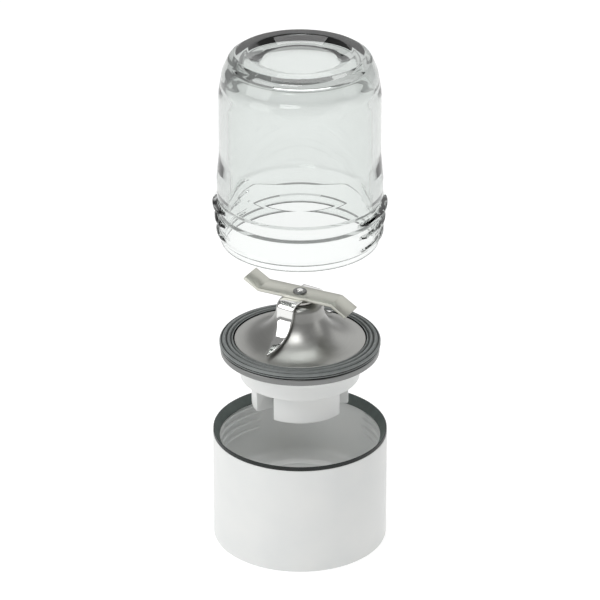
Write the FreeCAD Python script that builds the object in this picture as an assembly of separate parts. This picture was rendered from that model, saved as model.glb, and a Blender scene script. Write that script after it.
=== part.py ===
"""Blade-mill cup for crushing pills: glass jar, blade unit and threaded collar, held apart above each other.

The jar stands upside down on the blade unit's gasket, and both sit in the collar.
Millimetres, +Z up.  The origin is the centre of the collar's bottom face.
The part at rest is the three assemblies lifted apart on one axis.
"""
import math
import os

import FreeCAD
import Part

# ---- driving dimensions -------------------------------------------------------------------
COLLAR_RADIUS = 46.3          # outside of the collar
COLLAR_HEIGHT = 63.0
THREAD_ROOT_RADIUS = 43.8     # bottom of the collar's thread
FEMALE_CREST_RADIUS = 42.6    # crest of the collar's thread
FLOOR_TOP = 26.0              # top of the raised ring
FLOOR_THICKNESS = 2.5
FLOOR_HOLE_RADIUS = 26.0
SEAT_RING_RADIUS = 31.5       # raised ring round the hole, which the hub's step stands on
SEAT_RING_HEIGHT = 2.5
BOWL_ROUND = 4.0              # rounding between the collar's floor and its wall
FOOT_ROUND = 0.6

SEAL_DEPTH = 5.0              # how far the funnel seal reaches down inside the lip
SEAL_SIDE = 2.3               # height of the seal that shows outside
SEAL_POCKET_RADIUS = 45.0
SEAL_THROAT_RADIUS = 42.7     # narrow end of the funnel, which gives way as the jar's ridges pass
SEAL_THROAT_HEIGHT = 0.6
SEAL_EDGE = 0.4               # rounding of the seal's top edge
SEAL_SETBACK = 0.2            # step in from the collar's outside

RIM_HEIGHT = 115.5            # plane of the steel dish's rim, lifted out of the collar
DISH_RIM_RADIUS = 34.6
DISH_TOP_RADIUS = 11.5
DISH_HEIGHT = 22.2
SHEET = 0.8                   # sheet steel of the dish
FLANGE_DROP = 3.7             # flange under the gasket, below the rim plane
FLANGE_RADIUS = 41.9
FLANGE_TURN_DOWN = 7.0        # bottom edge of the turned-down rim, below the rim plane
GASKET_RADIUS = 42.4
GASKET_TOP = 0.5              # above the rim plane
SOFT_GAP = 0.6                # play between the gasket and the steel

HUB_RADIUS = 31.6
HUB_SHOULDER_RADIUS = 38.2    # top of the hub's rounded shoulder, under the steel rim
HUB_SHOULDER_DROP = 13.0      # foot of the shoulder, below the rim plane
HUB_STEP_DROP = 21.5          # hub's step, below the rim plane
LUG_RADIUS = 25.6
LUG_INNER_RADIUS = 16.0
LUG_HEIGHT = 16.4
LUG_GAP_ANGLES = (-138.0, -20.0, 102.0)
LUG_GAP_WIDTH = 30.0

SHAFT_RADIUS = 4.0
BUSH_RUNNING_FIT = 0.04
BLADE_THICKNESS = 1.6
BLADE_WIDTH = 13.2
BLADE_HALF_FLAT = 21.5        # from the axis to each bend of the upper blade
BLADE_TIP = 10.0
BLADE_BEND = 31.0             # angle of its tips
LOWER_BLADE_THICKNESS = 1.4
LOWER_BLADE_WIDTH = 10.4
BLADE_TURN = -27.0            # upper blade, about Z
LOWER_BLADE_TURN = -124.0     # lower blade's front arm, about Z

JAR_LIP_HEIGHT = 173.0        # jar's lip, lifted off the blade unit
JAR_HEIGHT = 103.5
JAR_ROOT_RADIUS = 42.1
MOUTH_RADIUS = 38.4

THREAD_PITCH = 4.6
FEMALE_ARC = 104.0            # each segment of the collar's thread, in degrees
MALE_ARC = 70.0               # each segment of the jar's thread, which passes the collar's gaps
THREAD_CENTRES = (170.0, -10.0)
RIDGE_BASE_HALF = 1.1         # half height of a ridge at the wall
RIDGE_CREST_HALF = 0.5        # half height of a ridge at its crest
RIDGE_ROOT_DEPTH = 0.5        # how far a ridge is sunk in the wall
FEMALE_RIDGES = ((FEMALE_CREST_RADIUS, 56.3), (FEMALE_CREST_RADIUS, 51.7),
                 (FEMALE_CREST_RADIUS, 47.1), (FEMALE_CREST_RADIUS, 42.5))
MALE_RIDGES = ((43.3, 6.5), (44.2, 13.9), (45.2, 21.3))   # crest radius, and height above the jar's lip

UP = FreeCAD.Vector(0, 0, 1)
ORIGIN = FreeCAD.Vector(0, 0, 0)


# ---- helpers ------------------------------------------------------------------------------
def point(radius, height):
    """A point of a section, in the plane of X and Z."""
    return FreeCAD.Vector(radius, 0, height)


def revolve(outline, angle=360.0, start=0.0):
    """Turn a closed section of (radius, height) points about Z."""
    corners = [point(r, z) for r, z in outline]
    face = Part.Face(Part.makePolygon(corners + corners[:1]))
    solid = face.revolve(ORIGIN, UP, angle)
    solid.rotate(ORIGIN, UP, start)
    return solid


def revolve_edges(edges):
    """Turn a closed section of joined edges about Z, with its seam at the back, clear of the threads."""
    solid = Part.Face(Part.Wire(edges)).revolve(ORIGIN, UP, 360.0)
    solid.rotate(ORIGIN, UP, 90.0)
    return solid


def line(start, end):
    return Part.makeLine(point(*start), point(*end))


def arc(start, middle, end):
    return Part.Arc(point(*start), point(*middle), point(*end)).toShape()


def tube(outer, inner, bottom, top):
    """A plain ring about Z."""
    return revolve([(inner, bottom), (outer, bottom), (outer, top), (inner, top)])


def sector(outer, inner, bottom, top, angle, start):
    """Part of a plain ring about Z."""
    return revolve([(inner, bottom), (outer, bottom), (outer, top), (inner, top)], angle, start)


def rod(radius, bottom, top, centre=(0.0, 0.0)):
    return Part.makeCylinder(radius, top - bottom, FreeCAD.Vector(centre[0], centre[1], bottom), UP)


def around(radius, count, start=0.0):
    """Centres evenly spaced on a circle, as (x, y, angle)."""
    places = []
    for index in range(count):
        angle = start + 360.0 * index / count
        turn = math.radians(angle)
        places.append((radius * math.cos(turn), radius * math.sin(turn), angle))
    return places


def round_edges(solid, radius, wanted):
    """Fillet the circular edges whose (radius, height) is in the wanted list."""
    edges = []
    for edge in solid.Edges:
        curve = edge.Curve
        if not hasattr(curve, "Radius"):
            continue
        for want_radius, want_height in wanted:
            close = abs(curve.Radius - want_radius) < 0.01 and abs(curve.Center.z - want_height) < 0.01
            if close:
                edges.append(edge)
    return solid.makeFillet(radius, edges)


def thread_ridges(base_radius, crests, angle):
    """Ridges of the quarter-turn thread at (crest radius, height): sloping arcs on two opposite sides."""
    slope = math.degrees(math.atan(THREAD_PITCH / (2.0 * math.pi * base_radius)))
    ridges = []
    for crest_radius, height in crests:
        root = base_radius - math.copysign(RIDGE_ROOT_DEPTH, crest_radius - base_radius)
        section = [(root, -RIDGE_BASE_HALF), (crest_radius, -RIDGE_CREST_HALF),
                   (crest_radius, RIDGE_CREST_HALF), (root, RIDGE_BASE_HALF)]
        for centre in THREAD_CENTRES:
            ridge = revolve(section, angle, -angle / 2.0)
            ridge.rotate(ORIGIN, FreeCAD.Vector(1, 0, 0), slope)
            ridge.rotate(ORIGIN, UP, centre)
            ridge.translate(FreeCAD.Vector(0, 0, height))
            ridges.append(ridge)
    return ridges


# ---- collar -------------------------------------------------------------------------------
BOSS_CIRCLE = 31.5
BOSS_RADIUS = 4.0
BOSS_BOTTOM = 15.0
BOSS_START = 30.0             # angle of the first of three bosses
PILOT_RADIUS = 1.25
SCREW_HOLE_RADIUS = 1.65
HEAD_RADIUS = 2.1
HEAD_HEIGHT = 2.0
RECESS_RADIUS = 1.3
RECESS_DEPTH = 1.2
SOCKET_RADIUS = 36.5
SOCKET_WALL = 2.0
SOCKET_BOTTOM = 1.0
SOCKET_FLANGE = 3.0           # thickness of the ring that the screws hold
SLOT_TOP = 8.0                # L-shaped slots for the drive base's lugs
SLOT_STEP = 4.5
SLOT_ENTRY_ANGLE = 12.0
SLOT_TURN_ANGLE = 34.0


def collar_shell():
    """White moulding: outer wall, quarter-turn thread, floor ring with its hole, and three screw bosses."""
    lip = COLLAR_HEIGHT - SEAL_SIDE
    pocket = COLLAR_HEIGHT - SEAL_DEPTH
    floor = FLOOR_TOP - SEAT_RING_HEIGHT
    under = floor - FLOOR_THICKNESS
    inner = THREAD_ROOT_RADIUS
    slant = BOWL_ROUND * (1.0 - math.sqrt(0.5))
    foot = FOOT_ROUND
    foot_slant = FOOT_ROUND * (1.0 - math.sqrt(0.5))
    edges = [
        line((COLLAR_RADIUS - foot, 0), (inner, 0)),
        line((inner, 0), (inner, under)),
        line((inner, under), (FLOOR_HOLE_RADIUS, under)),
        line((FLOOR_HOLE_RADIUS, under), (FLOOR_HOLE_RADIUS, FLOOR_TOP)),
        line((FLOOR_HOLE_RADIUS, FLOOR_TOP), (SEAT_RING_RADIUS, FLOOR_TOP)),
        line((SEAT_RING_RADIUS, FLOOR_TOP), (SEAT_RING_RADIUS + 1.0, floor)),
        line((SEAT_RING_RADIUS + 1.0, floor), (inner - BOWL_ROUND, floor)),
        arc((inner - BOWL_ROUND, floor), (inner - slant, floor + slant), (inner, floor + BOWL_ROUND)),
        line((inner, floor + BOWL_ROUND), (inner, pocket)),
        line((inner, pocket), (SEAL_POCKET_RADIUS, pocket)),
        line((SEAL_POCKET_RADIUS, pocket), (SEAL_POCKET_RADIUS, lip)),
        line((SEAL_POCKET_RADIUS, lip), (COLLAR_RADIUS, lip)),
        line((COLLAR_RADIUS, lip), (COLLAR_RADIUS, foot)),
        arc((COLLAR_RADIUS, foot), (COLLAR_RADIUS - foot_slant, foot_slant), (COLLAR_RADIUS - foot, 0)),
    ]
    shell = revolve_edges(edges)
    places = around(BOSS_CIRCLE, 3, BOSS_START)
    bosses = [rod(BOSS_RADIUS, BOSS_BOTTOM, under + 1.0, (x, y)) for x, y, _ in places]
    pilots = [rod(PILOT_RADIUS, BOSS_BOTTOM - 1.0, under, (x, y)) for x, y, _ in places]
    return shell.fuse(thread_ridges(inner, FEMALE_RIDGES, FEMALE_ARC) + bosses).cut(pilots).removeSplitter()


def rim_seal():
    """Dark funnel seal that caps the collar's lip and leads the jar in."""
    lip = COLLAR_HEIGHT - SEAL_SIDE
    pocket = COLLAR_HEIGHT - SEAL_DEPTH
    side = COLLAR_RADIUS - SEAL_SETBACK
    throat = pocket + SEAL_THROAT_HEIGHT
    slant = SEAL_EDGE * (1.0 - math.sqrt(0.5))
    return revolve_edges([
        line((SEAL_THROAT_RADIUS, pocket), (SEAL_POCKET_RADIUS, pocket)),
        line((SEAL_POCKET_RADIUS, pocket), (SEAL_POCKET_RADIUS, lip)),
        line((SEAL_POCKET_RADIUS, lip), (side, lip)),
        line((side, lip), (side, COLLAR_HEIGHT - SEAL_EDGE)),
        arc((side, COLLAR_HEIGHT - SEAL_EDGE), (side - slant, COLLAR_HEIGHT - slant),
            (side - SEAL_EDGE, COLLAR_HEIGHT)),
        line((side - SEAL_EDGE, COLLAR_HEIGHT), (SEAL_THROAT_RADIUS, throat)),
        line((SEAL_THROAT_RADIUS, throat), (SEAL_THROAT_RADIUS, pocket)),
    ])


def bayonet_ring():
    """Socket under the collar for a drive base, with three L-shaped slots for the base's lugs."""
    outer = SOCKET_RADIUS + SOCKET_WALL
    under = BOSS_BOTTOM - SOCKET_FLANGE
    flange = tube(outer, FLOOR_HOLE_RADIUS + 2.0, under, BOSS_BOTTOM)
    ring = flange.fuse(tube(outer, SOCKET_RADIUS, SOCKET_BOTTOM, BOSS_BOTTOM - 1.0))
    places = around(BOSS_CIRCLE, 3, BOSS_START)
    cuts = [rod(SCREW_HOLE_RADIUS, under - 1.0, BOSS_BOTTOM + 1.0, (x, y)) for x, y, _ in places]
    cuts += [rod(HEAD_RADIUS + 0.3, under - 1.0, under + HEAD_HEIGHT, (x, y)) for x, y, _ in places]
    for _, _, angle in around(1.0, 3, 90.0):
        cuts.append(sector(outer + 1.0, SOCKET_RADIUS - 1.0, 0, SLOT_TOP, SLOT_ENTRY_ANGLE, angle))
        cuts.append(sector(outer + 1.0, SOCKET_RADIUS - 1.0, SLOT_STEP, SLOT_TOP, SLOT_TURN_ANGLE, angle))
    return ring.cut(cuts).removeSplitter()


def hexagon(radius, bottom, height, centre=(0.0, 0.0), start=0.0):
    """Hexagonal bar that stands on the plane at a height, with its first corner at an angle."""
    corners = [FreeCAD.Vector(centre[0] + x, centre[1] + y, bottom) for x, y, _ in around(radius, 6, start)]
    return Part.Face(Part.makePolygon(corners + corners[:1])).extrude(UP * height)


def screw(seat, tip, centre):
    """Screw pointing up, with its round head under the seat and a hexagon recess."""
    head_bottom = seat - HEAD_HEIGHT
    body = rod(HEAD_RADIUS, head_bottom, seat, centre)
    body = body.fuse(rod(PILOT_RADIUS, head_bottom, tip, centre))
    return body.cut(hexagon(RECESS_RADIUS, head_bottom, RECESS_DEPTH, centre))


def bayonet_screws():
    seat = BOSS_BOTTOM - SOCKET_FLANGE + HEAD_HEIGHT
    tip = FLOOR_TOP - SEAT_RING_HEIGHT - FLOOR_THICKNESS - 0.5
    places = around(BOSS_CIRCLE, 3, BOSS_START)
    return Part.makeCompound([screw(seat, tip, (x, y)) for x, y, _ in places])


# ---- blade unit, in its own frame with the rim plane at 0 -----------------------------------
CROWN_ROUND = 3.8
DISH_CENTRE = 35.2            # the bell's flare is a quarter ellipse about this radius
CHANNEL_ROUND = 0.5
HOUSING_RADIUS = 8.5
HOUSING_TOP = DISH_HEIGHT - SHEET - 0.1
HOUSING_BOTTOM = -18.0
HOUSING_BORE_RADIUS = 5.0
HOUSING_SHOULDER_RADIUS = 14.0
HOUSING_SHOULDER = 2.5
TOWER_RADIUS = 9.3            # housing above its shoulder
TOWER_TOP_RADIUS = 8.4
FACE_SEAL_RADIUS = 7.8
FACE_SEAL_INNER = 6.6
FACE_SEAL_DEPTH = 1.0
LIP_SEAL_RADIUS = 6.2
LIP_SEAL_HEIGHT = 2.6
BUSH_RADIUS = 6.5
BUSH_LENGTH = 8.0
NUT_RADIUS = 11.0
NUT_HEIGHT = 4.0
HUB_WALL = 2.5
HUB_TOP = -FLANGE_DROP - SHEET
WEB_BOTTOM = HUB_TOP - 2.7
LUG_ROUND = 0.8
COVER_RADIUS = 15.7
COVER_THICKNESS = 2.0
COVER_CIRCLE = 13.6
COVER_BOSS_RADIUS = 2.2
COVER_BOSS_BOTTOM = HUB_WALL - HUB_STEP_DROP - 0.5
GASKET_UNDERCUT = 1.2
GASKET_SKIRT = -2.9           # top of the undercut, below the rim plane
GASKET_GROOVE = 0.8
GROOVE_HALF = 0.45
GASKET_SIDE_GROOVES = (-2.0,)
GASKET_TOP_GROOVES = (40.9, 38.5, 36.3)


def flare_point(reach, drop, angle):
    """Point of the quarter ellipse at an angle below the crown, for semi-axes reach and drop."""
    turn = math.radians(angle)
    return (DISH_CENTRE - reach * math.cos(turn), DISH_HEIGHT - drop * math.sin(turn))


def flare_curve(reach, drop, first, last):
    """Smooth curve along the quarter ellipse between two angles."""
    steps = 8
    spots = []
    for index in range(steps + 1):
        spots.append(point(*flare_point(reach, drop, first + (last - first) * index / steps)))
    curve = Part.BSplineCurve()
    curve.interpolate(spots)
    return curve.toShape()


def steel_dish():
    """Stamped steel bell with a channel and a turned-down rim that carries the gasket."""
    reach = DISH_CENTRE - DISH_TOP_RADIUS
    drop = DISH_HEIGHT
    last = math.degrees(math.acos((DISH_CENTRE - DISH_RIM_RADIUS) / reach))
    rim = flare_point(reach, drop, last)
    inner_reach = reach + SHEET
    inner_drop = drop + SHEET
    inner_last = math.degrees(math.acos((DISH_CENTRE - DISH_RIM_RADIUS + SHEET) / inner_reach))
    inner_rim = flare_point(inner_reach, inner_drop, inner_last)
    under_crown_angle = math.degrees(math.asin(SHEET / inner_drop))
    under_crown = flare_point(inner_reach, inner_drop, under_crown_angle)
    flange_top = -FLANGE_DROP
    flange_under = flange_top - SHEET
    hole = SHAFT_RADIUS + 0.4
    edges = [
        line((hole, DISH_HEIGHT), (DISH_TOP_RADIUS, DISH_HEIGHT)),
        flare_curve(reach, drop, 0.0, last),
        line(rim, (DISH_RIM_RADIUS, flange_top)),
        line((DISH_RIM_RADIUS, flange_top), (FLANGE_RADIUS, flange_top)),
        line((FLANGE_RADIUS, flange_top), (FLANGE_RADIUS, -FLANGE_TURN_DOWN)),
        line((FLANGE_RADIUS, -FLANGE_TURN_DOWN), (FLANGE_RADIUS - SHEET, -FLANGE_TURN_DOWN)),
        line((FLANGE_RADIUS - SHEET, -FLANGE_TURN_DOWN), (FLANGE_RADIUS - SHEET, flange_under)),
        line((FLANGE_RADIUS - SHEET, flange_under), (DISH_RIM_RADIUS - SHEET, flange_under)),
        line((DISH_RIM_RADIUS - SHEET, flange_under), inner_rim),
        flare_curve(inner_reach, inner_drop, inner_last, under_crown_angle),
        line(under_crown, (hole, DISH_HEIGHT - SHEET)),
        line((hole, DISH_HEIGHT - SHEET), (hole, DISH_HEIGHT)),
    ]
    dish = revolve_edges(edges)
    dish = round_edges(dish, CROWN_ROUND - SHEET, [under_crown])
    dish = round_edges(dish, CROWN_ROUND, [(DISH_TOP_RADIUS, DISH_HEIGHT)])
    return round_edges(dish, CHANNEL_ROUND, [(FLANGE_RADIUS, flange_top), rim])


def ribbed_gasket():
    """Ring gasket, undercut at its foot, with grooves round its top and its side; loose in the channel."""
    inner = DISH_RIM_RADIUS + SOFT_GAP
    bottom = -FLANGE_DROP + 0.1
    foot = GASKET_RADIUS - GASKET_UNDERCUT
    shoulder = GASKET_RADIUS - GASKET_GROOVE
    outline = [(inner, bottom), (foot, bottom), (foot, GASKET_SKIRT), (GASKET_RADIUS, GASKET_SKIRT)]
    for height in GASKET_SIDE_GROOVES:
        outline += [(GASKET_RADIUS, height - GROOVE_HALF), (shoulder, height),
                    (GASKET_RADIUS, height + GROOVE_HALF)]
    outline += [(GASKET_RADIUS, GASKET_TOP - 2.0 * GASKET_GROOVE), (shoulder, GASKET_TOP - GASKET_GROOVE)]
    for radius in GASKET_TOP_GROOVES:
        outline += [(radius + GROOVE_HALF, GASKET_TOP), (radius, GASKET_TOP - GASKET_GROOVE),
                    (radius - GROOVE_HALF, GASKET_TOP)]
    outline.append((inner, GASKET_TOP))
    return revolve(outline)


def hub_body():
    """White hub: flange in the dish's rim, stepped drum, central socket and three skirt lugs."""
    step = -HUB_STEP_DROP
    foot = step - LUG_HEIGHT
    flange_radius = FLANGE_RADIUS - SHEET - 0.1
    hub = revolve([
        (HOUSING_RADIUS, HUB_TOP), (flange_radius, HUB_TOP), (flange_radius, WEB_BOTTOM + 0.4),
        (HUB_SHOULDER_RADIUS, WEB_BOTTOM), (HUB_SHOULDER_RADIUS - 1.0, WEB_BOTTOM - 2.2),
        (HUB_SHOULDER_RADIUS - 3.4, WEB_BOTTOM - 4.6), (HUB_RADIUS, -HUB_SHOULDER_DROP),
        (HUB_RADIUS, step), (LUG_RADIUS, step), (LUG_RADIUS, foot + LUG_ROUND),
        (LUG_RADIUS - LUG_ROUND, foot), (LUG_INNER_RADIUS, foot), (LUG_INNER_RADIUS, step + HUB_WALL),
        (HUB_RADIUS - HUB_WALL, step + HUB_WALL), (HUB_RADIUS - HUB_WALL, WEB_BOTTOM),
        (HOUSING_RADIUS, WEB_BOTTOM)])
    hub = round_edges(hub, LUG_ROUND, [(HUB_RADIUS, step)])
    places = around(COVER_CIRCLE, 3)
    hub = hub.fuse([rod(COVER_BOSS_RADIUS, COVER_BOSS_BOTTOM, HUB_TOP - 1.0, (x, y)) for x, y, _ in places])
    cuts = [rod(PILOT_RADIUS, COVER_BOSS_BOTTOM - 1.0, WEB_BOTTOM, (x, y)) for x, y, _ in places]
    for centre in LUG_GAP_ANGLES:
        start = centre - LUG_GAP_WIDTH / 2.0
        cuts.append(sector(LUG_RADIUS + 1.0, LUG_INNER_RADIUS - 1.0, foot - 1.0, step, LUG_GAP_WIDTH, start))
    return hub.cut(cuts).removeSplitter()


def bearing_housing():
    """Turned housing through the hub: shoulder on the web, thread for the nut, seats for bushes and seals."""
    shoulder = HUB_TOP + HOUSING_SHOULDER
    face_seat = HOUSING_TOP - FACE_SEAL_DEPTH
    lower_seat = HOUSING_BOTTOM + BUSH_LENGTH
    upper_bush_top = HOUSING_TOP - LIP_SEAL_HEIGHT
    upper_seat = upper_bush_top - BUSH_LENGTH
    return revolve([
        (HOUSING_BORE_RADIUS, lower_seat), (BUSH_RADIUS, lower_seat), (BUSH_RADIUS, HOUSING_BOTTOM),
        (HOUSING_RADIUS, HOUSING_BOTTOM), (HOUSING_RADIUS, HUB_TOP), (HOUSING_SHOULDER_RADIUS, HUB_TOP),
        (HOUSING_SHOULDER_RADIUS, shoulder), (TOWER_RADIUS, shoulder), (TOWER_RADIUS, face_seat),
        (TOWER_TOP_RADIUS, HOUSING_TOP), (FACE_SEAL_RADIUS, HOUSING_TOP), (FACE_SEAL_RADIUS, face_seat),
        (FACE_SEAL_INNER, face_seat), (FACE_SEAL_INNER, HOUSING_TOP), (LIP_SEAL_RADIUS, HOUSING_TOP),
        (LIP_SEAL_RADIUS, upper_bush_top), (BUSH_RADIUS, upper_bush_top), (BUSH_RADIUS, upper_seat),
        (HOUSING_BORE_RADIUS, upper_seat)])


def bush(bottom):
    """Bronze bush with running clearance round the shaft."""
    return tube(BUSH_RADIUS, SHAFT_RADIUS + BUSH_RUNNING_FIT, bottom, bottom + BUSH_LENGTH)


def shaft_seal():
    """Lip seal that keeps powder off the upper bush."""
    top = HOUSING_TOP
    bottom = top - LIP_SEAL_HEIGHT
    web = bottom + 0.8
    tip = SHAFT_RADIUS + 0.1
    return revolve([(tip + 0.4, bottom), (LIP_SEAL_RADIUS, bottom), (LIP_SEAL_RADIUS, top), (tip + 1.3, top),
                    (tip + 0.9, web), (tip + 0.6, web), (tip, top - 0.4), (tip, top - 0.9)])


def housing_seal():
    """Face ring between the housing and the underside of the dish's crown."""
    return tube(FACE_SEAL_RADIUS, FACE_SEAL_INNER, HOUSING_TOP - FACE_SEAL_DEPTH, DISH_HEIGHT - SHEET)


def housing_nut():
    """Hexagon nut that clamps the housing to the hub's web."""
    bottom = WEB_BOTTOM - NUT_HEIGHT
    nut = hexagon(NUT_RADIUS, bottom, NUT_HEIGHT, start=30.0)
    return nut.cut(rod(HOUSING_RADIUS, bottom - 1.0, WEB_BOTTOM + 1.0))


def hub_cover():
    """Cover that closes the hub's drum from below, round the housing's end."""
    top = COVER_BOSS_BOTTOM
    bottom = top - COVER_THICKNESS
    cover = tube(COVER_RADIUS, HOUSING_RADIUS + 0.5, bottom, top)
    return cover.cut([rod(SCREW_HOLE_RADIUS, bottom - 1.0, top + 1.0, (x, y))
                      for x, y, _ in around(COVER_CIRCLE, 3)])


def cover_screws():
    seat = COVER_BOSS_BOTTOM - COVER_THICKNESS
    return Part.makeCompound([screw(seat, WEB_BOTTOM - 2.0, (x, y)) for x, y, _ in around(COVER_CIRCLE, 3)])


# ---- rotor, in the blade unit's frame -------------------------------------------------------
SPACER_BOTTOM = DISH_HEIGHT + 0.3
SPACER_RADIUS = 8.0
LOWER_BLADE_BOTTOM = 23.9
UPPER_BLADE_BOTTOM = LOWER_BLADE_BOTTOM + LOWER_BLADE_THICKNESS
UPPER_BLADE_TOP = UPPER_BLADE_BOTTOM + BLADE_THICKNESS
TENON_RADIUS = 2.6
SPIGOT_RADIUS = 1.9           # end of the shaft that the pressed ring holds
SPIGOT_HEIGHT = 1.3
RING_RADIUS = 3.6
RING_HEIGHT = 0.8
SHAFT_BOTTOM = -34.0
CLIP_TOP = -19.0
CLIP_THICKNESS = 1.0
CLIP_RADIUS = 6.0
CLIP_GROOVE_RADIUS = 3.4
THRUST_WASHER_RADIUS = 7.0
COUPLING_TOP = -24.6
COUPLING_BOTTOM = -35.0
COUPLING_RADIUS = 11.0
COUPLING_HUB_RADIUS = 8.0
COUPLING_TOOTH_ANGLE = 26.0
INSERT_RADIUS = 6.4
INSERT_LENGTH = 8.0
ARM_AIR = 1.6                 # gap between the lower blade's arms and the bell
ARM_SHOULDER = 10.6
ARM_TIP_ANGLE = 79.5          # where the arms end on the bell's quarter ellipse
ARM_PLAN = ((-0.01, -5.2), (12.4, -5.2), (17.5, -4.5), (23.0, -3.0), (32.5, 0.3), (21.0, 2.6), (16.0, 3.6),
            (12.4, 5.2), (-0.01, 5.2))        # outline of one arm from above


def shaft():
    """Steel shaft: journal, clip groove, and a tenon that carries the blades."""
    end = UPPER_BLADE_TOP + SPIGOT_HEIGHT
    return revolve([
        (0, SHAFT_BOTTOM), (SHAFT_RADIUS - 0.5, SHAFT_BOTTOM), (SHAFT_RADIUS, SHAFT_BOTTOM + 0.5),
        (SHAFT_RADIUS, CLIP_TOP - CLIP_THICKNESS), (CLIP_GROOVE_RADIUS, CLIP_TOP - CLIP_THICKNESS),
        (CLIP_GROOVE_RADIUS, CLIP_TOP), (SHAFT_RADIUS, CLIP_TOP), (SHAFT_RADIUS, LOWER_BLADE_BOTTOM),
        (TENON_RADIUS, LOWER_BLADE_BOTTOM), (TENON_RADIUS, UPPER_BLADE_TOP), (SPIGOT_RADIUS, UPPER_BLADE_TOP),
        (SPIGOT_RADIUS, end - 0.4), (SPIGOT_RADIUS - 0.5, end - 0.1), (0, end)])


def blade_spacer():
    return tube(SPACER_RADIUS, SHAFT_RADIUS, SPACER_BOTTOM, LOWER_BLADE_BOTTOM)


def blade_ring():
    """Ring pressed on the shaft's tip, over the blades."""
    base = UPPER_BLADE_TOP
    top = base + RING_HEIGHT
    return revolve([(SPIGOT_RADIUS, base), (RING_RADIUS, base), (RING_RADIUS, top - 0.3),
                    (RING_RADIUS - 0.4, top), (SPIGOT_RADIUS, top)])


def across(face, width):
    """Extrude a blade's side outline across its width, centred on the axis."""
    blade = face.extrude(FreeCAD.Vector(0, width, 0))
    blade.translate(FreeCAD.Vector(0, -width / 2.0, 0))
    return blade


def upper_blade():
    """Flat bar blade with one tip bent up and the other bent down."""
    half_flat = BLADE_HALF_FLAT
    bend = math.radians(BLADE_BEND)
    low = UPPER_BLADE_BOTTOM
    high = UPPER_BLADE_TOP
    run = BLADE_TIP * math.cos(bend)
    rise = BLADE_TIP * math.sin(bend)
    shift = BLADE_THICKNESS * math.tan(bend / 2.0)
    lean = BLADE_THICKNESS * math.sin(bend)
    stand = BLADE_THICKNESS * math.cos(bend)
    outline = [
        (-half_flat, low), (half_flat - shift, low), (half_flat + run - lean, high - rise - stand),
        (half_flat + run, high - rise), (half_flat, high), (-half_flat + shift, high),
        (-half_flat - run + lean, low + rise + stand), (-half_flat - run, low + rise)]
    corners = [point(x, z) for x, z in outline]
    blade = across(Part.Face(Part.makePolygon(corners + corners[:1])), BLADE_WIDTH)
    blade = blade.cut(rod(TENON_RADIUS, low - 1.0, high + 1.0))
    blade.rotate(ORIGIN, UP, BLADE_TURN)
    return blade


def lower_blade():
    """Pointed blade whose two arms bend down and follow the bell's flare."""
    reach = DISH_CENTRE - DISH_TOP_RADIUS - ARM_AIR
    drop = DISH_HEIGHT - ARM_AIR + 0.2
    thick = LOWER_BLADE_THICKNESS
    low = LOWER_BLADE_BOTTOM
    high = low + thick
    knee_angle = 8.0
    top_angle = 4.0
    tip_angle = ARM_TIP_ANGLE
    knee = flare_point(reach, drop, knee_angle)
    knee_top = flare_point(reach - thick, drop - thick, top_angle)
    shoulder = ARM_SHOULDER
    edges = [
        line((0, low), (shoulder, low)),
        arc((shoulder, low), (knee[0] - 0.75, low - 0.85), knee),
        flare_curve(reach, drop, knee_angle, tip_angle),
        line(flare_point(reach, drop, tip_angle), flare_point(reach - thick, drop - thick, tip_angle + 1.5)),
        flare_curve(reach - thick, drop - thick, tip_angle + 1.5, top_angle),
        arc(knee_top, (knee_top[0] - 0.9, high - 0.95), (shoulder + 0.8, high)),
        line((shoulder + 0.8, high), (0, high)),
        line((0, high), (0, low)),
    ]
    arm = across(Part.Face(Part.Wire(edges)), LOWER_BLADE_WIDTH)
    corners = [FreeCAD.Vector(x, y, -DISH_HEIGHT) for x, y in ARM_PLAN]
    outline = Part.Face(Part.makePolygon(corners + corners[:1])).extrude(UP * 3.0 * DISH_HEIGHT)
    arm = arm.common(outline)
    other = arm.copy()
    other.rotate(ORIGIN, UP, 180.0)
    blade = arm.fuse(other).cut(rod(TENON_RADIUS, low - 1.0, high + 1.0)).removeSplitter()
    blade.rotate(ORIGIN, UP, LOWER_BLADE_TURN)
    return blade


def lower_thrust_washer():
    return tube(THRUST_WASHER_RADIUS, SHAFT_RADIUS, CLIP_TOP, HOUSING_BOTTOM - 0.1)


def circlip():
    """Open retaining ring in the shaft's groove."""
    return sector(CLIP_RADIUS, CLIP_GROOVE_RADIUS, CLIP_TOP - CLIP_THICKNESS, CLIP_TOP, 310.0, 115.0)


def coupling_insert():
    """Knurled brass insert that grips the shaft inside the coupling."""
    bottom = COUPLING_TOP - INSERT_LENGTH
    insert = tube(INSERT_RADIUS, SHAFT_RADIUS, bottom, COUPLING_TOP)
    grooves = [rod(0.5, bottom - 1.0, COUPLING_TOP + 1.0, (x, y)) for x, y, _ in around(INSERT_RADIUS, 12)]
    return insert.cut(grooves)


def drive_coupling():
    """Star coupling: a hub with six teeth that a drive base's tulip turns."""
    hub = rod(COUPLING_HUB_RADIUS, COUPLING_BOTTOM, COUPLING_TOP)
    root = COUPLING_HUB_RADIUS - 0.5
    section = [(root, COUPLING_BOTTOM), (COUPLING_RADIUS, COUPLING_BOTTOM + 1.5),
               (COUPLING_RADIUS, COUPLING_TOP), (root, COUPLING_TOP)]
    half = COUPLING_TOOTH_ANGLE / 2.0
    teeth = [revolve(section, COUPLING_TOOTH_ANGLE, angle - half) for _, _, angle in around(1.0, 6)]
    coupling = hub.fuse(teeth)
    pocket = rod(INSERT_RADIUS, COUPLING_TOP - INSERT_LENGTH, COUPLING_TOP + 1.0)
    through = rod(SHAFT_RADIUS + 0.3, COUPLING_BOTTOM - 1.0, COUPLING_TOP)
    return coupling.cut([pocket, through]).removeSplitter()


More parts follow.
